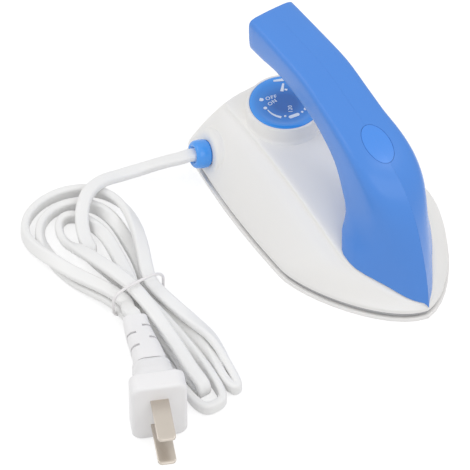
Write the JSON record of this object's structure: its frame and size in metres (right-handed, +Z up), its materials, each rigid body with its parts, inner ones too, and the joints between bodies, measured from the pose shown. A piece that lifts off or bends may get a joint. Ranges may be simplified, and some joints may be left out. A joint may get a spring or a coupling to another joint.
{
  "type": "travel iron",
  "caption": "Compact travel iron with a one-armed blue handle open at the rear, flat pointed sole, round temperature dial and a bundled flat mains cord ending in a two-blade plug.",
  "frame": {"origin": "on the table under the middle of the iron's box, taken without its free cord and plug", "axes": "+Z up off the sole, +X along the iron towards the pointed nose, +Y to the iron's left seen from behind"},
  "size_m": [0.1315, 0.1509, 0.0718],
  "materials": {
    "sole": "polished flat sole of cast metal",
    "element": "dull heat-darkened metal sheath",
    "terminal": "turned yellow metal",
    "cover": "pressed plated sheet metal",
    "shell": "smooth warm white moulding, satin gloss",
    "screw": "bright plated screw",
    "insulator": "unglazed pale ceramic",
    "spring_metal": "rolled spring metal",
    "dial": "glossy blue with white printed marks",
    "sleeve": "satin blue flexible button",
    "cord": "soft white flat insulation, slight sheen",
    "clamp": "plain natural moulding",
    "fuse": "glazed cylindrical fuse in a pale sleeve",
    "handle": "satin mid-blue moulding with fine grain",
    "lens": "smooth blue lamp window",
    "lamp": "small clear bulb",
    "resistor": "lacquered tan body",
    "wire": "woven heat-proof sleeving",
    "tie": "white plastic-coated wire",
    "plug": "white flexible moulding",
    "pin": "nickel-plated blade, slightly warm"
  },
  "bodies": {
    "iron": {"soleplate": "sole", "heating_element": "element", "element_pin_left": "terminal", "element_pin_right": "terminal", "heat_cover": "cover", "body_shell": "shell", "sole_screw_left": "screw", "sole_screw_right": "screw", "sole_screw_front": "screw", "thermostat_washer_1": "insulator", "thermostat_bimetal": "spring_metal", "thermostat_washer_2": "insulator", "thermostat_lower_blade": "spring_metal", "thermostat_washer_3": "insulator", "thermostat_upper_blade": "spring_metal", "thermostat_washer_4": "insulator", "thermostat_bracket": "cover", "thermostat_screw": "screw", "thermostat_bush": "terminal", "cord_sleeve": "sleeve", "inner_lead": "cord", "cord_clamp": "clamp", "clamp_screw_1": "screw", "clamp_screw_2": "screw", "terminal_block": "insulator", "terminal_screw_1": "screw", "terminal_screw_2": "screw", "thermal_fuse": "fuse", "handle_left": "handle", "handle_right": "handle", "lamp_lens": "lens", "handle_screw_left": "screw", "handle_screw_right": "screw", "neon_lamp": "lamp", "lamp_resistor": "resistor", "live_wire": "wire", "neutral_wire": "wire", "element_wire_left": "wire", "fuse_wire": "wire", "thermostat_wire": "wire", "element_wire_right": "wire", "cord_hank": "cord", "cord_lead": "cord", "twist_tie": "tie", "plug_body": "plug", "plug_pin_upper": "pin", "plug_pin_lower": "pin", "plug_strain_relief": "plug"},
    "dial": {"dial_spindle": "screw", "dial_knob": "dial"}
  },
  "joints": [
    {"name": "dial_turn", "type": "hinge", "parent": "iron", "child": "dial", "pos_m": [-0.0317, 0, 0.0306], "axis": [0, 0, 1], "range_deg": [-290, 0]}
  ]
}
